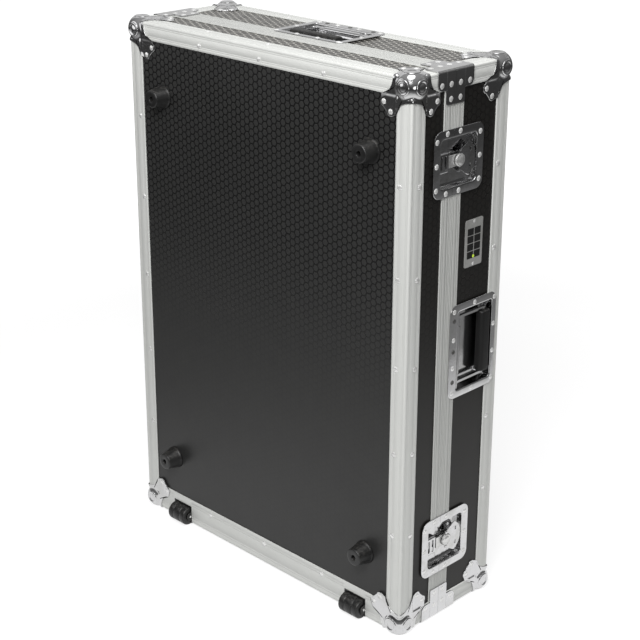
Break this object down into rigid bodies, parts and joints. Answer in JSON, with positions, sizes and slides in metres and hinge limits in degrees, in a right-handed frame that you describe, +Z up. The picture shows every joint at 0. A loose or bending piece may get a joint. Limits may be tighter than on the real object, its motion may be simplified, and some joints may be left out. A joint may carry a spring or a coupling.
{
  "type": "dj coffin case",
  "caption": "Upright road case for DJ gear: shallow base tray with feet and wheels, deep lift-off lid, ribbed aluminium edges, ball corners, butterfly latches and spring handles.",
  "frame": {"origin": "middle of the upright case's footprint, on the ground that its bottom ball corners and wheels stand on, halfway from the tips of the feet to the lid's ball corners", "axes": "+Z up along the case's length, +Y from the base panel with the feet toward the lid's face, +X to the right seen from the base panel"},
  "size_m": [0.646, 0.2518, 0.9256],
  "materials": {
    "extrusion": "satin anodised, ribbed along its length",
    "laminate": "plywood faced with black laminate, embossed honeycomb",
    "lining": "charcoal open-cell foam",
    "corner_steel": "bright plated pressed steel",
    "fitting_steel": "bright plated pressed steel",
    "rubber": "satin black moulded rubber",
    "wheel": "black wheel with two tread grooves",
    "housing": "black moulded plastic"
  },
  "bodies": {
    "base": {"base_board": "laminate", "base_side_boards": "laminate", "base_edge_frame": "extrusion", "base_closure": "extrusion", "base_lining": "lining", "base_corner_top_right": "corner_steel", "base_brace_top_right": "corner_steel", "foot_top_right": "rubber", "latch_catch_top_right": "fitting_steel", "base_corner_bottom_right": "corner_steel", "base_brace_bottom_right": "corner_steel", "foot_bottom_right": "rubber", "latch_catch_bottom_right": "fitting_steel", "base_corner_top_left": "corner_steel", "base_brace_top_left": "corner_steel", "foot_top_left": "rubber", "latch_catch_top_left": "fitting_steel", "base_corner_bottom_left": "corner_steel", "base_brace_bottom_left": "corner_steel", "foot_bottom_left": "rubber", "latch_catch_bottom_left": "fitting_steel", "wheel_housing_left": "housing", "wheel_housing_right": "housing"},
    "lid": {"lid_board": "laminate", "lid_side_boards": "laminate", "lid_edge_frame": "extrusion", "lid_closure": "extrusion", "lid_lining": "lining", "lid_corner_top_right": "corner_steel", "lid_brace_top_right": "corner_steel", "latch_dish_top_right": "fitting_steel", "lid_corner_bottom_right": "corner_steel", "lid_brace_bottom_right": "corner_steel", "latch_dish_bottom_right": "fitting_steel", "lid_corner_top_left": "corner_steel", "lid_brace_top_left": "corner_steel", "latch_dish_top_left": "fitting_steel", "lid_corner_bottom_left": "corner_steel", "lid_brace_bottom_left": "corner_steel", "latch_dish_bottom_left": "fitting_steel", "side_handle_dish": "fitting_steel", "top_handle_dish": "fitting_steel"},
    "wheel_left": {"wheel_left": "wheel"},
    "wheel_right": {"wheel_right": "wheel"},
    "latch_spindle_top_right": {"latch_spindle_top_right": "fitting_steel"},
    "latch_wing_top_right": {"latch_wing_top_right": "fitting_steel"},
    "latch_hook_top_right": {"latch_hook_top_right": "fitting_steel"},
    "latch_spindle_bottom_right": {"latch_spindle_bottom_right": "fitting_steel"},
    "latch_wing_bottom_right": {"latch_wing_bottom_right": "fitting_steel"},
    "latch_hook_bottom_right": {"latch_hook_bottom_right": "fitting_steel"},
    "latch_spindle_top_left": {"latch_spindle_top_left": "fitting_steel"},
    "latch_wing_top_left": {"latch_wing_top_left": "fitting_steel"},
    "latch_hook_top_left": {"latch_hook_top_left": "fitting_steel"},
    "latch_spindle_bottom_left": {"latch_spindle_bottom_left": "fitting_steel"},
    "latch_wing_bottom_left": {"latch_wing_bottom_left": "fitting_steel"},
    "latch_hook_bottom_left": {"latch_hook_bottom_left": "fitting_steel"},
    "side_handle_bail": {"side_handle_bail": "fitting_steel", "side_handle_grip": "rubber"},
    "top_handle_bail": {"top_handle_bail": "fitting_steel", "top_handle_grip": "rubber"}
  },
  "joints": [
    {"name": "lid_lift", "type": "slide", "parent": "base", "child": "lid", "axis": [0, 1, 0], "range_m": [0, 0.25]},
    {"name": "latch_turn_top_right", "type": "hinge", "parent": "lid", "child": "latch_spindle_top_right", "pos_m": [0.32, 0.0111, 0.7818], "axis": [1, 0, 0], "range_deg": [0, 180]},
    {"name": "wing_fold_top_right", "type": "hinge", "parent": "latch_spindle_top_right", "child": "latch_wing_top_right", "pos_m": [0.3188, 0.0111, 0.7818], "axis": [0, 0, -1], "range_deg": [0, 90]},
    {"name": "hook_draw_top_right", "type": "slide", "parent": "lid", "child": "latch_hook_top_right", "axis": [-0.2775, -0.9607, 0], "range_m": [0, 0.00937]},
    {"name": "latch_turn_bottom_right", "type": "hinge", "parent": "lid", "child": "latch_spindle_bottom_right", "pos_m": [0.32, 0.0111, 0.1348], "axis": [1, 0, 0], "range_deg": [0, 180]},
    {"name": "wing_fold_bottom_right", "type": "hinge", "parent": "latch_spindle_bottom_right", "child": "latch_wing_bottom_right", "pos_m": [0.3188, 0.0111, 0.1348], "axis": [0, 0, -1], "range_deg": [0, 90]},
    {"name": "hook_draw_bottom_right", "type": "slide", "parent": "lid", "child": "latch_hook_bottom_right", "axis": [-0.2775, -0.9607, 0], "range_m": [0, 0.00937]},
    {"name": "latch_turn_top_left", "type": "hinge", "parent": "lid", "child": "latch_spindle_top_left", "pos_m": [-0.32, 0.0111, 0.7818], "axis": [-1, 0, 0], "range_deg": [0, 180]},
    {"name": "wing_fold_top_left", "type": "hinge", "parent": "latch_spindle_top_left", "child": "latch_wing_top_left", "pos_m": [-0.3188, 0.0111, 0.7818], "axis": [0, 0, 1], "range_deg": [0, 90]},
    {"name": "hook_draw_top_left", "type": "slide", "parent": "lid", "child": "latch_hook_top_left", "axis": [0.2775, -0.9607, 0], "range_m": [0, 0.00937]},
    {"name": "latch_turn_bottom_left", "type": "hinge", "parent": "lid", "child": "latch_spindle_bottom_left", "pos_m": [-0.32, 0.0111, 0.1348], "axis": [-1, 0, 0], "range_deg": [0, 180]},
    {"name": "wing_fold_bottom_left", "type": "hinge", "parent": "latch_spindle_bottom_left", "child": "latch_wing_bottom_left", "pos_m": [-0.3188, 0.0111, 0.1348], "axis": [0, 0, 1], "range_deg": [0, 90]},
    {"name": "hook_draw_bottom_left", "type": "slide", "parent": "lid", "child": "latch_hook_bottom_left", "axis": [0.2775, -0.9607, 0], "range_m": [0, 0.00937]},
    {"name": "side_handle_swing", "type": "hinge", "parent": "lid", "child": "side_handle_bail", "pos_m": [0.3145, 0.0246, 0.4683], "axis": [0, 0, -1], "range_deg": [0, 90], "stiffness_Nm_per_rad": 0.3},
    {"name": "top_handle_swing", "type": "hinge", "parent": "lid", "child": "top_handle_bail", "pos_m": [0, 0.0876, 0.9173], "axis": [-1, 0, 0], "range_deg": [0, 90], "stiffness_Nm_per_rad": 0.3},
    {"name": "wheel_spin_left", "type": "hinge", "parent": "base", "child": "wheel_left", "pos_m": [-0.22, -0.1034, 0.017], "axis": [1, 0, 0], "continuous": true},
    {"name": "wheel_spin_right", "type": "hinge", "parent": "base", "child": "wheel_right", "pos_m": [0.22, -0.1034, 0.017], "axis": [1, 0, 0], "continuous": true}
  ],
  "couplings": [
    {"joint": "hook_draw_top_right", "follows": "latch_turn_top_right", "m_per_rad": 0.0029819},
    {"joint": "hook_draw_bottom_right", "follows": "latch_turn_bottom_right", "m_per_rad": 0.0029819},
    {"joint": "hook_draw_top_left", "follows": "latch_turn_top_left", "m_per_rad": 0.0029819},
    {"joint": "hook_draw_bottom_left", "follows": "latch_turn_bottom_left", "m_per_rad": 0.0029819}
  ]
}
